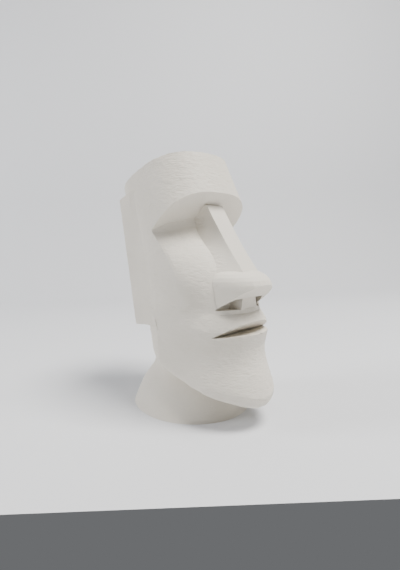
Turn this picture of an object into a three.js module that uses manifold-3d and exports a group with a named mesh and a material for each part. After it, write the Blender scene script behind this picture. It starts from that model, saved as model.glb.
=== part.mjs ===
// Moai stone head statue: one printed piece, a long leaning head on a flared neck.
// Millimetres, +Z up, the face looks along -Y, the foot stands on z = 0 and is centred on the Z axis.
import * as THREE from 'three';
import { mergeVertices } from 'three/addons/utils/BufferGeometryUtils.js';
import Module from 'manifold-3d';

const wasm = await Module();
wasm.setup();

// ---- driving dimensions ----------------------------------------------------

const COLOUR = 0xe9e4d8;

// The crown: a flat top that drops towards the back.
const CROWN = { height: 116.3, atY: 0.5, slope: 0.17 };

// The brow: the flat underside of the forehead, rising towards the front.
const BROW = { height: 85.6, atY: -7.8, slope: 0.81 };

// The long column of the head, from the jaw up. Each station gives its height, half width,
// the Y of its widest line, the Y of its back, and how square its back half is.
const COLUMN = [
  { z: 4, half: 24, widest: -8.5, back: 20, backPower: 1.5 },
  { z: 26, half: 24.5, widest: -8.5, back: 21.5, backPower: 1.42 },
  { z: 44, half: 24.8, widest: -8.4, back: 24, backPower: 1.5 },
  { z: 66, half: 24.9, widest: -8.2, back: 29, backPower: 1.6 },
  { z: 88, half: 24.8, widest: -8, back: 33.8, backPower: 1.75 },
  { z: 104, half: 23, widest: -4, back: 37.4, backPower: 2.2 },
  { z: 124, half: 20.2, widest: 1, back: 41.5, backPower: 2.5 },
];

// The forehead in front of the widest line.
const FOREHEAD = [
  { z: 80, front: -34.9, power: 3.1 },
  { z: 124, front: -18.9, power: 2.4 },
];

// The face below the brow. `front` is the Y of its middle line, `curve` how strongly it
// rounds away from there, and `edge` how sharply it turns into the side of the head.
const FACE = [
  { z: 104, front: -12.5, curve: 0.012, edge: 60 },
  { z: 92, front: -14.8, curve: 0.0135, edge: 60 },
  { z: 86, front: -17.2, curve: 0.0152, edge: 60 },
  { z: 79, front: -25, curve: 0.018, edge: 40 },
  { z: 72, front: -32.8, curve: 0.0215, edge: 26 },
  { z: 64, front: -38.8, curve: 0.0245, edge: 16 },
  { z: 56, front: -41, curve: 0.028, edge: 10 },
  { z: 51, front: -41.9, curve: 0.032, edge: 8 },
  { z: 47.8, front: -43.5, curve: 0.034, edge: 7 },
  { z: 44.5, front: -46.9, curve: 0.036, edge: 6.5 },
  { z: 40.5, front: -47.4, curve: 0.037, edge: 6 },
  { z: 34.5, front: -45.6, curve: 0.0375, edge: 6 },
  { z: 28, front: -45.8, curve: 0.0375, edge: 6 },
  { z: 21, front: -48.2, curve: 0.037, edge: 6 },
  { z: 14, front: -50.2, curve: 0.037, edge: 6 },
  { z: 2, front: -49.6, curve: 0.037, edge: 6 },
];

// The lower edge of the jaw sweeps up from the chin to the nape and is rounded.
const JAW = { height: 26.2, rise: 0.328, droopFrom: -40, droop: 0.01 };
const JAW_ROUND = { side: 2.8, chin: 5.5, from: -34, to: -46 };

// The straight nose: a flat strip down the middle, between sides that flare towards its foot.
// Its blunt top is level and stops just under the brow.
const RIDGE = [
  { z: 96.1, y: -23.2, strip: 5, root: 4.8, depth: 15 },
  { z: 90, y: -26.8, strip: 4.9, root: 4.9, depth: 13 },
  { z: 83.7, y: -30.8, strip: 4.8, root: 6.9, depth: 12.5 },
  { z: 76.1, y: -35.8, strip: 4.7, root: 9.4, depth: 11.5 },
  { z: 70.6, y: -39.9, strip: 4.7, root: 11.4, depth: 11 },
  { z: 66.4, y: -43.1, strip: 4.6, root: 12.9, depth: 11 },
  { z: 61, y: -47.4, strip: 4.5, root: 14, depth: 11 },
];

// The bulb of the nose: an oval in plan, upright below its waist and rounded over above it.
const BULB = {
  half: 15,
  centreY: -28,
  reach: 23.5,
  floor: 50.9,
  waist: 59.3,
  crown: 68.2,
  sidePower: 3.2,
  frontPower: 2.35,
};

// The hollow under the nose: its roof slopes down towards the lip, its floor is the lip's top edge.
const NOSTRILS = { floor: 50.8, back: -35.5, half: 15.6, roofZ: 61, roofY: -51.5, roofSlope: 0.6 };

// Inside the hollow a nostril rises on each side, given by its corners in plan as [x, y].
const NOSTRIL = { top: 58.5, plan: [[3.4, -42], [8.6, -42], [12.6, -37.5], [12.8, -35], [3.4, -35]] };

// The septum between the nostrils stands upright and widens towards its foot.
const SEPTUM = { front: -41.8, back: -33, topHalf: 3, footHalf: 5.2 };

// The mouth: one straight wedge-shaped notch across the lips.
const MOUTH = { y: -35.6, z: 39.8, upperSlope: 0.6, lowerSlope: 0.07, half: 30, reach: 18 };

// Each ear is a long slab against the side of the head, with a sloping front face.
const EAR = {
  outerX: 23,
  coreX: 10,
  top: { back: [22.4, 103.6], front: [12.9, 105.9], root: [22, 9.4, 106.6] },
  foot: { back: [12.9, 41.1], front: [4.9, 41.9], root: [24.95, -8.4, 42.3] },
};

// The neck and its oval foot, as shares of the foot's half width and half depth.
const NECK = { halfX: 27.7, halfY: 32.4 };
const NECK_STATIONS = [
  { z: 0, share: 1 },
  { z: 3.4, share: 0.95 },
  { z: 7, share: 0.895 },
  { z: 10, share: 0.845 },
  { z: 13, share: 0.78 },
  { z: 16, share: 0.7 },
  { z: 19, share: 0.625 },
  { z: 22.5, share: 0.58 },
  { z: 32, share: 0.56 },
];

// ---- helpers ---------------------------------------------------------------

const RING = 64;
const COLUMN_TOP = 124;
const { lerp, clamp } = THREE.MathUtils;

/** Smooth value of `key` at height z through stations. */
function smooth(stations, key, z) {
  const rows = stations[0].z < stations[1].z ? stations : [...stations].reverse();
  const last = rows.length - 1;
  if (z <= rows[0].z) return rows[0][key];
  if (z >= rows[last].z) return rows[last][key];
  let i = 0;
  while (z > rows[i + 1].z) i += 1;
  const slopeAt = (k) => {
    const before = rows[Math.max(k - 1, 0)];
    const after = rows[Math.min(k + 1, last)];
    return (after[key] - before[key]) / (after.z - before.z);
  };
  const span = rows[i + 1].z - rows[i].z;
  const t = (z - rows[i].z) / span;
  const rise = rows[i + 1][key] - rows[i][key];
  const a = slopeAt(i) * span;
  const b = slopeAt(i + 1) * span;
  return rows[i][key] + t * (a + t * (3 * rise - 2 * a - b + t * (a + b - 2 * rise)));
}

const signedPower = (value, power) => Math.sign(value) * Math.abs(value) ** power;

/** Closed loft through rings of equal length, first and last closed by a fan. */
function loft(rings) {
  const count = rings[0].length;
  const positions = rings.flat().flatMap((p) => [p.x, p.y, p.z]);
  const index = [];
  for (let r = 0; r + 1 < rings.length; r += 1) {
    for (let i = 0; i < count; i += 1) {
      const a = r * count + i;
      const b = r * count + ((i + 1) % count);
      index.push(a, b, b + count, a, b + count, a + count);
    }
  }
  const cap = (ring, offset, down) => {
    const middle = ring.reduce((sum, p) => sum.add(p), new THREE.Vector3()).divideScalar(count);
    const hub = positions.length / 3;
    positions.push(middle.x, middle.y, middle.z);
    for (let i = 0; i < count; i += 1) {
      const j = (i + 1) % count;
      index.push(hub, offset + (down ? j : i), offset + (down ? i : j));
    }
  };
  cap(rings[0], 0, true);
  cap(rings[rings.length - 1], (rings.length - 1) * count, false);
  const geometry = new THREE.BufferGeometry();
  geometry.setAttribute('position', new THREE.Float32BufferAttribute(positions, 3));
  geometry.setIndex(index);
  return geometry;
}

/** Turn a closed three.js geometry into a solid for joining and cutting. */
function solid(geometry) {
  geometry.deleteAttribute('normal');
  geometry.deleteAttribute('uv');
  const merged = mergeVertices(geometry, 1e-4);
  return new wasm.Manifold(new wasm.Mesh({
    numProp: 3,
    vertProperties: Float32Array.from(merged.attributes.position.array),
    triVerts: Uint32Array.from(merged.index.array),
  }));
}

/** Straight bar along X from -half to half, with a side given as [y, z] corners. */
function barAcross(corners, half) {
  const ring = (x) => corners.map(([y, z]) => new THREE.Vector3(x, y, z));
  const turned = corners.reduce((sum, [y, z], i) => {
    const [nextY, nextZ] = corners[(i + 1) % corners.length];
    return sum + y * nextZ - nextY * z;
  }, 0);
  return solid(loft(turned > 0 ? [ring(-half), ring(half)] : [ring(half), ring(-half)]));
}

/** Everything above (or below) the plane z = height - slope * (y - atY), as a large block. */
function halfSpace({ height, atY, slope }, above) {
  const size = 400;
  const block = new THREE.BoxGeometry(size, size, size);
  block.translate(0, 0, above ? size / 2 : -size / 2);
  block.rotateX(-Math.atan(slope));
  block.translate(0, atY, height);
  return solid(block);
}

// ---- head ------------------------------------------------------------------

/** Point at a given turn about the widest line, on a rounded-square arc. */
function arcPoint(turn, z, depth, power) {
  return new THREE.Vector3(
    smooth(COLUMN, 'half', z) * signedPower(Math.cos(turn), 2 / power),
    smooth(COLUMN, 'widest', z) + depth * signedPower(Math.sin(turn), 2 / power),
    z,
  );
}

/** Back half of the column, for a turn of 0 (its right side) to PI (its left side). */
function backPoint(turn, z) {
  const depth = smooth(COLUMN, 'back', z) - smooth(COLUMN, 'widest', z);
  return arcPoint(turn, z, depth, smooth(COLUMN, 'backPower', z));
}

/** The forehead: full width in front of the widest line, and buried in the head behind it. */
function forehead() {
  const rings = [];
  const bottom = 76;
  const steps = 16;
  const buried = 0.8;
  for (let s = 0; s <= steps; s += 1) {
    const z = lerp(bottom, COLUMN_TOP, s / steps);
    const widest = smooth(COLUMN, 'widest', z);
    const depth = widest - smooth(FOREHEAD, 'front', z);
    const power = smooth(FOREHEAD, 'power', z);
    const half = smooth(COLUMN, 'half', z) * buried;
    const ring = [new THREE.Vector3(half, widest + 6, z), new THREE.Vector3(-half, widest + 6, z)];
    for (let i = 0; i <= RING / 2; i += 1) {
      ring.push(arcPoint(Math.PI * (1 + (2 * i) / RING), z, depth, power));
    }
    rings.push(ring);
  }
  return solid(loft(rings)).intersect(halfSpace(BROW, true));
}

/** The outline of the face at height z: how far it stands ahead, how it rounds, and where it turns. */
function faceAt(z) {
  const half = smooth(COLUMN, 'half', z);
  const widest = smooth(COLUMN, 'widest', z);
  const depth = widest - smooth(FACE, 'front', z);
  const curve = Math.min(smooth(FACE, 'curve', z), depth / (half * half));
  const corner = Math.atan2(Math.max(depth - curve * half * half, 0.2), half);
  return { half, widest, depth, curve, edge: smooth(FACE, 'edge', z), corner };
}

/** Front of the head below the brow. `share` runs from -1 (left side) through 0 (nose) to 1. */
function facePoint(share, z) {
  const { half, widest, depth, curve, edge, corner } = faceAt(z);
  const cornerShare = 0.92;
  const spread = Math.abs(share);
  const turn = spread > cornerShare
    ? lerp(corner, 0, (spread - cornerShare) / (1 - cornerShare))
    : lerp(Math.PI / 2, corner, spread / cornerShare);
  const across = Math.cos(turn);
  const ahead = Math.sin(turn);
  const bend = 4 * curve * across * across * depth;
  const toFace = (2 * depth) / (ahead + Math.sqrt(ahead * ahead + bend));
  const toSide = half / Math.max(across, 1e-6);
  const rounded = (a, b) => (a ** -edge + b ** -edge) ** (-1 / edge);
  const shrunk = half / rounded(Math.sqrt(depth / curve), half);
  const reach = rounded(toFace, toSide) * lerp(1, shrunk, across ** 6);
  return new THREE.Vector3(Math.sign(share) * reach * across, widest - reach * ahead, z);
}

/** The head without its forehead, from the crown down to the rounded lower edge of the jaw. */
function mask() {
  const centre = new THREE.Vector3(0, -10, 0);
  const backSteps = 22;
  const frontSteps = 50;
  const outlines = [];
  for (let i = 0; i < backSteps; i += 1) {
    outlines.push((z) => backPoint((i / backSteps) * Math.PI, z));
  }
  for (let i = 0; i < frontSteps; i += 1) {
    outlines.push((z) => facePoint((2 * i) / frontSteps - 1, z));
  }
  const jawRound = (y) => {
    const share = clamp((JAW_ROUND.from - y) / (JAW_ROUND.from - JAW_ROUND.to), 0, 1);
    return lerp(JAW_ROUND.side, JAW_ROUND.chin, share * share * (3 - 2 * share));
  };
  const edgeAt = ({ y }) => {
    const beyond = Math.max(JAW.droopFrom - y, 0);
    return JAW.height + JAW.rise * y - JAW.droop * beyond * beyond;
  };
  const settle = (outline, heightAt) => {
    let point = outline(JAW.height);
    for (let pass = 0; pass < 16; pass += 1) {
      point = outline(lerp(point.z, heightAt(point), 0.6));
    }
    return point;
  };
  const rings = [0, 0.12, 0.3, 0.6, 1].map((level) => outlines.map((outline) => {
    const point = settle(outline, (p) => edgeAt(p) + level * jawRound(p.y));
    const inset = jawRound(point.y) * (1 - Math.sqrt(1 - (1 - level) ** 2));
    return point.add(centre.clone().setZ(point.z).sub(point).setLength(inset));
  }));
  const steps = 30;
  for (let s = 1; s <= steps; s += 1) {
    const height = (p) => lerp(edgeAt(p) + jawRound(p.y), COLUMN_TOP, s / steps);
    rings.push(outlines.map((outline) => settle(outline, height)));
  }
  return solid(loft(rings));
}

/** The straight part of the nose, from inside the forehead down into the bulb. */
function ridge() {
  const top = RIDGE[0].z;
  const bottom = RIDGE[RIDGE.length - 1].z;
  const steps = 14;
  const rings = [];
  for (let s = 0; s <= steps; s += 1) {
    const z = lerp(bottom, top, s / steps);
    const [y, strip, root, depth] = ['y', 'strip', 'root', 'depth'].map((key) => smooth(RIDGE, key, z));
    const side = [0, 0.3, 0.65, 1].map((t) => [lerp(strip, root, t), y + t * depth]);
    rings.push([
      ...[...side].reverse().map(([x, atY]) => new THREE.Vector3(-x, atY, z)),
      ...side.map(([x, atY]) => new THREE.Vector3(x, atY, z)),
    ]);
  }
  return solid(loft(rings));
}

/** The rounded bulb of the nose. */
function bulb() {
  const ringAt = (z, acrossShare, aheadShare) => {
    const ring = [];
    const count = RING / 2;
    for (let i = 0; i < count; i += 1) {
      const turn = (i / count) * 2 * Math.PI;
      const x = BULB.half * acrossShare * Math.cos(turn);
      const y = BULB.centreY + BULB.reach * aheadShare * Math.sin(turn);
      ring.push(new THREE.Vector3(x, y, z));
    }
    return ring;
  };
  const rings = [ringAt(BULB.floor, 0.94, 0.94), ringAt(lerp(BULB.floor, BULB.waist, 0.5), 0.985, 0.985)];
  const steps = 8;
  for (let i = 0; i < steps; i += 1) {
    const t = Math.sin((i / steps) * (Math.PI / 2));
    const round = (power) => (1 - t ** power) ** (1 / power);
    const z = lerp(BULB.waist, BULB.crown, t);
    rings.push(ringAt(z, round(BULB.sidePower), round(BULB.frontPower)));
  }
  return solid(loft(rings));
}

/** The hollow under the nose, with a nostril rising on each side. */
function nostrils() {
  const { floor, back, half, roofZ, roofY, roofSlope } = NOSTRILS;
  const roofAt = (y) => roofZ - roofSlope * (y - roofY);
  const ahead = back - 30;
  const corners = [[back, floor], [back, roofAt(back)], [ahead, roofAt(ahead)], [ahead, floor]];
  const pocket = (side) => {
    const plan = side < 0 ? [...NOSTRIL.plan].reverse() : NOSTRIL.plan;
    return solid(loft([floor, NOSTRIL.top].map((z) => plan.map(([x, y]) => (
      new THREE.Vector3(side * x, y, z)
    )))));
  };
  return barAcross(corners, half).add(pocket(-1)).add(pocket(1));
}

/** The upright between the two nostrils. */
function septum() {
  const { front, back, topHalf, footHalf } = SEPTUM;
  const ring = (z, half) => [
    new THREE.Vector3(-half, front, z),
    new THREE.Vector3(half, front, z),
    new THREE.Vector3(half, back, z),
    new THREE.Vector3(-half, back, z),
  ];
  return solid(loft([ring(NOSTRILS.floor - 0.4, footHalf), ring(NOSTRIL.top + 1, topHalf)]));
}

/** The wedge cut away between the lips. */
function mouthNotch() {
  const { y, z, upperSlope, lowerSlope, half, reach } = MOUTH;
  const ahead = y - reach;
  return barAcross([[y, z], [ahead, z + upperSlope * reach], [ahead, z + lowerSlope * reach]], half);
}

/** One ear slab, running from inside the head out to its flat outer face. */
function ear(side) {
  const { outerX, coreX, top, foot } = EAR;
  const corners = ({ back, front, root }) => [
    new THREE.Vector3(-outerX, back[0], back[1]),
    new THREE.Vector3(-outerX, front[0], front[1]),
    new THREE.Vector3(-root[0], root[1], root[2]),
    new THREE.Vector3(-coreX, root[1], root[2]),
    new THREE.Vector3(-coreX, back[0], back[1]),
  ];
  const upper = corners(top);
  const steps = 8;
  const rings = [];
  for (let s = 0; s <= steps; s += 1) {
    rings.push(corners(foot).map((p, i) => p.lerp(upper[i], s / steps)));
  }
  if (side < 0) return solid(loft(rings));
  const mirrored = loft(rings.reverse());
  mirrored.scale(-1, 1, 1);
  return solid(mirrored);
}

/** The neck and its oval foot. */
function neck() {
  const rings = NECK_STATIONS.map(({ z, share }) => {
    const ring = [];
    for (let i = 0; i < RING; i += 1) {
      const turn = (i / RING) * 2 * Math.PI;
      const x = NECK.halfX * share * Math.cos(turn);
      ring.push(new THREE.Vector3(x, NECK.halfY * share * Math.sin(turn), z));
    }
    return ring;
  });
  return solid(loft(rings));
}

/** The whole statue as one solid. */
function statue() {
  return mask()
    .add(forehead())
    .intersect(halfSpace(CROWN, false))
    .add(ridge())
    .add(bulb())
    .subtract(nostrils())
    .add(septum())
    .subtract(mouthNotch())
    .add(ear(-1))
    .add(ear(1))
    .add(neck());
}

/** Faceted three.js geometry of a solid. */
function geometryOf(form) {
  const mesh = form.getMesh();
  const geometry = new THREE.BufferGeometry();
  geometry.setAttribute('position', new THREE.BufferAttribute(mesh.vertProperties, 3));
  geometry.setIndex(new THREE.BufferAttribute(mesh.triVerts, 1));
  geometry.computeVertexNormals();
  return geometry;
}

const plastic = new THREE.MeshStandardMaterial({ color: COLOUR, roughness: 0.85, metalness: 0 });
const head = new THREE.Mesh(geometryOf(statue()), plastic);
head.name = 'moai_head';

const group = new THREE.Group();
group.add(head);

export default group;
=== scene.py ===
import math

import bmesh
import bpy
import numpy as np
from mathutils import Matrix, Vector, noise


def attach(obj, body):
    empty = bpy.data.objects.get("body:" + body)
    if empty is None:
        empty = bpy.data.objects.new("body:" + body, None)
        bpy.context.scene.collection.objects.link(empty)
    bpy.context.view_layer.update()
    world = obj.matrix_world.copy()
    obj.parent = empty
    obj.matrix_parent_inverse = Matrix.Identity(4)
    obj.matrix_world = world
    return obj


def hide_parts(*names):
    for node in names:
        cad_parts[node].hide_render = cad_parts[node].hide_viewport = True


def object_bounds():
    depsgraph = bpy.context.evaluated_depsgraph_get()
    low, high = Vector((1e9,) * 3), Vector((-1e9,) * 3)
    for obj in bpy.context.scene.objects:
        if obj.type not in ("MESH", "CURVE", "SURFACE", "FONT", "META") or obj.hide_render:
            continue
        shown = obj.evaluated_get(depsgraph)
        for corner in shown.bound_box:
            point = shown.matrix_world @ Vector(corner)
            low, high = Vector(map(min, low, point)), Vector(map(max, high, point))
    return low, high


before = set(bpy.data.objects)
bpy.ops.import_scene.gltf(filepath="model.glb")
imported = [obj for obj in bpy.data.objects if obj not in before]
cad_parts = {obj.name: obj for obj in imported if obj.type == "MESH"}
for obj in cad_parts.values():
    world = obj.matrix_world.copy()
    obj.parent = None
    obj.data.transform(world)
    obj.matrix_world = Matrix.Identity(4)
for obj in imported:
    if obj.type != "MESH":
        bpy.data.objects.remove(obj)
start_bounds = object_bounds()

# All sizes are in metres, in the shared frame: the face looks along -Y, the foot is at z = 0.

# fine mesh
MERGE = 0.0002                  # corners of the solid closer than this become one
SLIVER = 0.00002
LONGEST = 0.00142               # longest edge of the fine mesh
HALVINGS = 8                    # enough to cut the solid's longest edge down to LONGEST
CREASE_DEG = 14
EAR_CREASE_DEG = 4.5            # the ears' long facets meet the head at a low angle
EAR_SIDE = 0.0205               # the ears lie further out than this
EAR_DEPTH = (-0.0095, 0.0235)
EAR_HEIGHT = (0.038, 0.108)
SMOOTH_PASSES = 24
SMOOTH_STEPS = (0.6, -0.61)     # a step in and a slightly longer one out keep the volume

# printed skin
RELIEF = 0.0002                 # depth of its waves
WAVES_PER_MM = (0.42, 0.42, 1.05)
RIPPLE = 2.1                    # the finer waves on top, as a multiple of the broad ones
RIPPLE_SHARE = 0.5
INSET = 0.35                    # share of the relief by which the skin as a whole lies inward
NECK_TOP = 0.024
NECK_TILT = 0.35                # the line under the jaw climbs by this toward the back
NECK_BLUR = 0.004
FOOT_MARGIN = 0.002

# how much of the skin's relief each smoother place keeps
UNDER_BROW_SHARE = 0.25
NOSE_STRIP_SHARE = 0.15
NOSE_BULB_SHARE = 0.2
EAR_SHARE = 0.3
NECK_SHARE = 0.45
SHARE_BLUR_PASSES = 4

# camera
YAW = math.radians(41.32)
PITCH = math.radians(-4.64)
ROLL = math.radians(-2.3)
STAND = (-0.10968, -0.13551, 0.07304)


def link(obj):
    bpy.context.scene.collection.objects.link(obj)
    return obj


def within(value, low, high):
    return (value > low) & (value < high)


def smoothstep(low, high, value):
    t = np.clip((value - low) / (high - low), 0, 1)
    return t * t * (3 - 2 * t)


def read(items, name, width):
    """A property of every vertex or edge as an array, one row each."""
    out = np.empty(len(items) * width)
    items.foreach_get(name, out)
    return out.reshape(-1, width) if width > 1 else out


# ---- fine mesh ------------------------------------------------------------------


def beside_ear(place):
    return (
        abs(place.x) > EAR_SIDE
        and within(place.y, *EAR_DEPTH)
        and within(place.z, *EAR_HEIGHT)
    )


def mark_creases(grid):
    """Marks the edges where two facets meet at a clear angle as not smooth."""
    for edge in grid.edges:
        middle = (edge.verts[0].co + edge.verts[1].co) / 2
        limit = math.radians(EAR_CREASE_DEG if beside_ear(middle) else CREASE_DEG)
        edge.smooth = edge.calc_face_angle(math.pi) < limit


def fine_copy(source):
    """The solid's own facets cut up small, with its edges kept, so that it can carry relief."""
    grid = bmesh.new()
    grid.from_mesh(source.data)
    bmesh.ops.remove_doubles(grid, verts=grid.verts, dist=MERGE)
    bmesh.ops.dissolve_degenerate(grid, edges=grid.edges, dist=SLIVER)
    bmesh.ops.triangulate(grid, faces=grid.faces)
    grid.normal_update()
    mark_creases(grid)
    for _ in range(HALVINGS):
        long_edges = [edge for edge in grid.edges if edge.calc_length() > LONGEST]
        if not long_edges:
            break
        bmesh.ops.subdivide_edges(grid, edges=long_edges, cuts=1)
        bmesh.ops.triangulate(grid, faces=grid.faces)
    fine = bpy.data.meshes.new("moai_skin")
    grid.to_mesh(fine)
    grid.free()
    return link(bpy.data.objects.new("moai_skin", fine))


def total_at(index, values, size):
    out = np.zeros((size,) + values.shape[1:])
    np.add.at(out, index, values)
    return out


def mean_over(values, pairs):
    """Each vertex's mean over the vertices that the pairs join to it, and how many they are."""
    size = len(values)
    ones = np.ones(len(pairs))
    count = total_at(pairs[:, 0], ones, size) + total_at(pairs[:, 1], ones, size)
    total = total_at(pairs[:, 0], values[pairs[:, 1]], size)
    total += total_at(pairs[:, 1], values[pairs[:, 0]], size)
    return total / np.maximum(count, 1)[:, None], count


def fair(co, pairs, crease):
    """Takes off the solid's facets: creases only slide along themselves, their ends stay."""
    sharp = pairs[crease]
    creases_met = mean_over(co, sharp)[1]
    slides = (creases_met == 2)[:, None]
    stays = ((creases_met != 2) & (creases_met > 0))[:, None]
    for _ in range(SMOOTH_PASSES):
        for amount in SMOOTH_STEPS:
            free = mean_over(co, pairs)[0]
            along = mean_over(co, sharp)[0]
            goal = np.where(slides, along, free)
            goal = np.where(stays, co, goal)
            co = co + amount * (goal - co)
    return co


# ---- printed skin ---------------------------------------------------------------


def skin_share(co, normal, pairs):
    """How rough the skin is at each vertex: 1 on the forehead, cheeks and chin."""
    x, y, z = co.T
    aside = np.abs(x)
    under_brow = smoothstep(0.25, 0.5, -normal[:, 2]) * (z > 0.05)
    strip = (aside < 0.00784) & within(z, 0.06, 0.098) & (y < -0.021)
    bulb = (aside < 0.0165) & within(z, 0.05, 0.069) & (y < -0.034)
    ear = (aside > 0.0222) & (np.abs(normal[:, 0]) > 0.9) & (y > 0.004) & within(z, 0.04, 0.107)
    above_neck = smoothstep(NECK_TOP - NECK_BLUR, NECK_TOP + NECK_BLUR, z - NECK_TILT * y)
    share = 1 - (1 - UNDER_BROW_SHARE) * under_brow
    share *= np.where(strip, NOSE_STRIP_SHARE, 1)
    share *= np.where(bulb, NOSE_BULB_SHARE, 1)
    share *= np.where(ear, EAR_SHARE, 1)
    share *= NECK_SHARE + (1 - NECK_SHARE) * above_neck
    share *= smoothstep(0.0, FOOT_MARGIN, z)
    for _ in range(SHARE_BLUR_PASSES):
        share = 0.5 * share + 0.5 * mean_over(share[:, None], pairs)[0][:, 0]
    return share


def skin_waves(co):
    """Level, wavy streaks: broad waves with finer ones on top."""
    shift = Vector((7, 3, 5))
    places = co * 1000 * np.array(WAVES_PER_MM)
    waves = np.empty(len(co))
    for i, row in enumerate(places):
        place = Vector(row)
        waves[i] = noise.noise(place) + RIPPLE_SHARE * noise.noise(place * RIPPLE + shift)
    return waves


def printed_body(source):
    body = fine_copy(source)
    mesh = body.data
    pairs = read(mesh.edges, "vertices", 2).astype(np.int64)
    crease = read(mesh.edges, "use_edge_sharp", 1) > 0.5
    co = fair(read(mesh.vertices, "co", 3), pairs, crease)
    mesh.vertices.foreach_set("co", co.ravel())
    mesh.polygons.foreach_set("use_smooth", np.ones(len(mesh.polygons), dtype=bool))
    mesh.update()
    normal = read(mesh.vertices, "normal", 3)
    share = skin_share(co, normal, pairs)
    depth = RELIEF * share * (skin_waves(co) - INSET)
    low, high = (np.array(corner) for corner in start_bounds)
    co = np.clip(co + normal * depth[:, None], low, high)
    mesh.vertices.foreach_set("co", co.ravel())
    mesh.update()
    mesh.attributes.new("fuzz", "FLOAT", "POINT").data.foreach_set("value", share)
    return body


def printed_plastic():
    """Matte warm-white plastic whose bump follows the mesh's fuzz attribute."""
    mat = bpy.data.materials.new("printed_plastic")
    mat.use_nodes = True
    tree = mat.node_tree
    nodes, links = tree.nodes, tree.links
    bsdf = nodes["Principled BSDF"]
    where = nodes.new("ShaderNodeTexCoord").outputs["Object"]

    def node(kind, **inputs):
        made = nodes.new(kind)
        for name, value in inputs.items():
            made.inputs[name].default_value = value
        return made

    def noise_on(vector, **inputs):
        made = node("ShaderNodeTexNoise", **inputs)
        links.new(vector, made.inputs["Vector"])
        return made.outputs["Fac"]

    def scaled(across, up):
        made = node("ShaderNodeMapping", Scale=(across, across, up))
        links.new(where, made.inputs["Vector"])
        return made.outputs["Vector"]

    waves = noise_on(scaled(420, 1250), Scale=1.0, Detail=3.0, Roughness=0.55, Distortion=0.35)
    grain = noise_on(scaled(1700, 3600), Scale=1.0, Detail=2.0, Roughness=0.5)
    tone = noise_on(where, Scale=55.0, Detail=3.0, Roughness=0.5)

    fuzz = nodes.new("ShaderNodeAttribute")
    fuzz.attribute_name = "fuzz"
    coarse = node("ShaderNodeBump", Distance=0.0004)
    links.new(waves, coarse.inputs["Height"])
    links.new(fuzz.outputs["Fac"], coarse.inputs["Strength"])
    fine = node("ShaderNodeBump", Distance=0.00003, Strength=0.6)
    links.new(grain, fine.inputs["Height"])
    links.new(coarse.outputs["Normal"], fine.inputs["Normal"])
    links.new(fine.outputs["Normal"], bsdf.inputs["Normal"])

    ramp = nodes.new("ShaderNodeValToRGB")
    darker, lighter = ramp.color_ramp.elements
    darker.position = 0.3
    darker.color = (0.70, 0.655, 0.57, 1)
    lighter.position = 0.75
    lighter.color = (0.75, 0.705, 0.62, 1)
    links.new(tone, ramp.inputs["Fac"])
    links.new(ramp.outputs["Color"], bsdf.inputs["Base Color"])

    bsdf.inputs["Roughness"].default_value = 0.62
    bsdf.inputs["Specular IOR Level"].default_value = 0.35
    return mat


body = printed_body(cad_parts["moai_head"])
body.data.materials.append(printed_plastic())
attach(body, "root")
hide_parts("moai_head")


# ---- surroundings ---------------------------------------------------------------


def sweep_paint():
    mat = bpy.data.materials.new("sweep_paint")
    mat.use_nodes = True
    bsdf = mat.node_tree.nodes["Principled BSDF"]
    bsdf.inputs["Base Color"].default_value = (0.68, 0.69, 0.71, 1)
    bsdf.inputs["Roughness"].default_value = 0.8
    return mat


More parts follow.
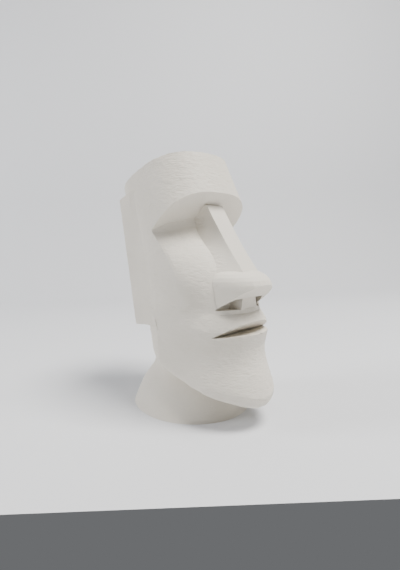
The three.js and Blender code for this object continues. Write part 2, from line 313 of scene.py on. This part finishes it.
def sweep():
    """A pale floor that curves up into a backdrop behind the statue."""
    depth, rise, radius, half = 0.42, 1.6, 0.22, 2.4
    steps = 12
    turned = math.radians(41)
    profile = [(-3.0, 0.0), (depth, 0.0)]
    for i in range(1, steps + 1):
        bend = i / steps * math.pi / 2
        profile.append((depth + radius * math.sin(bend), radius * (1 - math.cos(bend))))
    profile.append((depth + radius, rise))
    grid = bmesh.new()
    rows = []
    for side in (-half, half):
        rows.append([grid.verts.new((
            side * math.cos(turned) + back * math.sin(turned),
            -side * math.sin(turned) + back * math.cos(turned),
            up,
        )) for back, up in profile])
    left, right = rows
    for i in range(len(profile) - 1):
        face = grid.faces.new((left[i], right[i], right[i + 1], left[i + 1]))
        face.smooth = True
    data = bpy.data.meshes.new("sweep")
    grid.to_mesh(data)
    grid.free()
    obj = link(bpy.data.objects.new("sweep", data))
    data.materials.append(sweep_paint())


def room_light():
    world = bpy.data.worlds.new("room")
    bpy.context.scene.world = world
    world.use_nodes = True
    background = world.node_tree.nodes["Background"]
    background.inputs["Color"].default_value = (0.93, 0.96, 1.0, 1)
    background.inputs["Strength"].default_value = 0.16


def area(name, location, target, size, power, colour):
    light = bpy.data.lights.new(name, "AREA")
    light.energy = power
    light.size = size
    light.color = colour
    obj = link(bpy.data.objects.new(name, light))
    obj.location = location
    aim = Vector(target) - Vector(location)
    obj.rotation_euler = aim.to_track_quat("-Z", "Y").to_euler()


sweep()
room_light()
area("key", (0.15, -0.4, 0.95), (0, 0, 0.06), 0.4, 20, (1.0, 0.98, 0.95))
area("left", (-0.85, 0.75, 0.6), (0, 0, 0.06), 0.4, 12, (0.98, 0.98, 1.0))
area("front", (-0.1, -1.0, 0.1), (0, 0, 0.05), 0.5, 1.2, (1.0, 1.0, 1.0))


# ---- camera ---------------------------------------------------------------------


def aim_camera():
    """YAW turns from +Y toward +X, PITCH looks down when negative, ROLL tips the frame."""
    reach = math.cos(PITCH)
    ahead = Vector((math.sin(YAW) * reach, math.cos(YAW) * reach, math.sin(PITCH)))
    level = Vector((math.cos(YAW), -math.sin(YAW), 0))
    upward = level.cross(ahead)
    right = math.cos(ROLL) * level + math.sin(ROLL) * upward
    above = -math.sin(ROLL) * level + math.cos(ROLL) * upward
    lens = bpy.data.cameras.new("camera")
    lens.sensor_fit = "HORIZONTAL"
    lens.sensor_width = 36
    lens.lens = 30.6
    camera = link(bpy.data.objects.new("camera", lens))
    turn = Matrix((right, above, -ahead)).transposed().to_4x4()
    camera.matrix_world = Matrix.Translation(Vector(STAND)) @ turn
    bpy.context.scene.camera = camera


aim_camera()
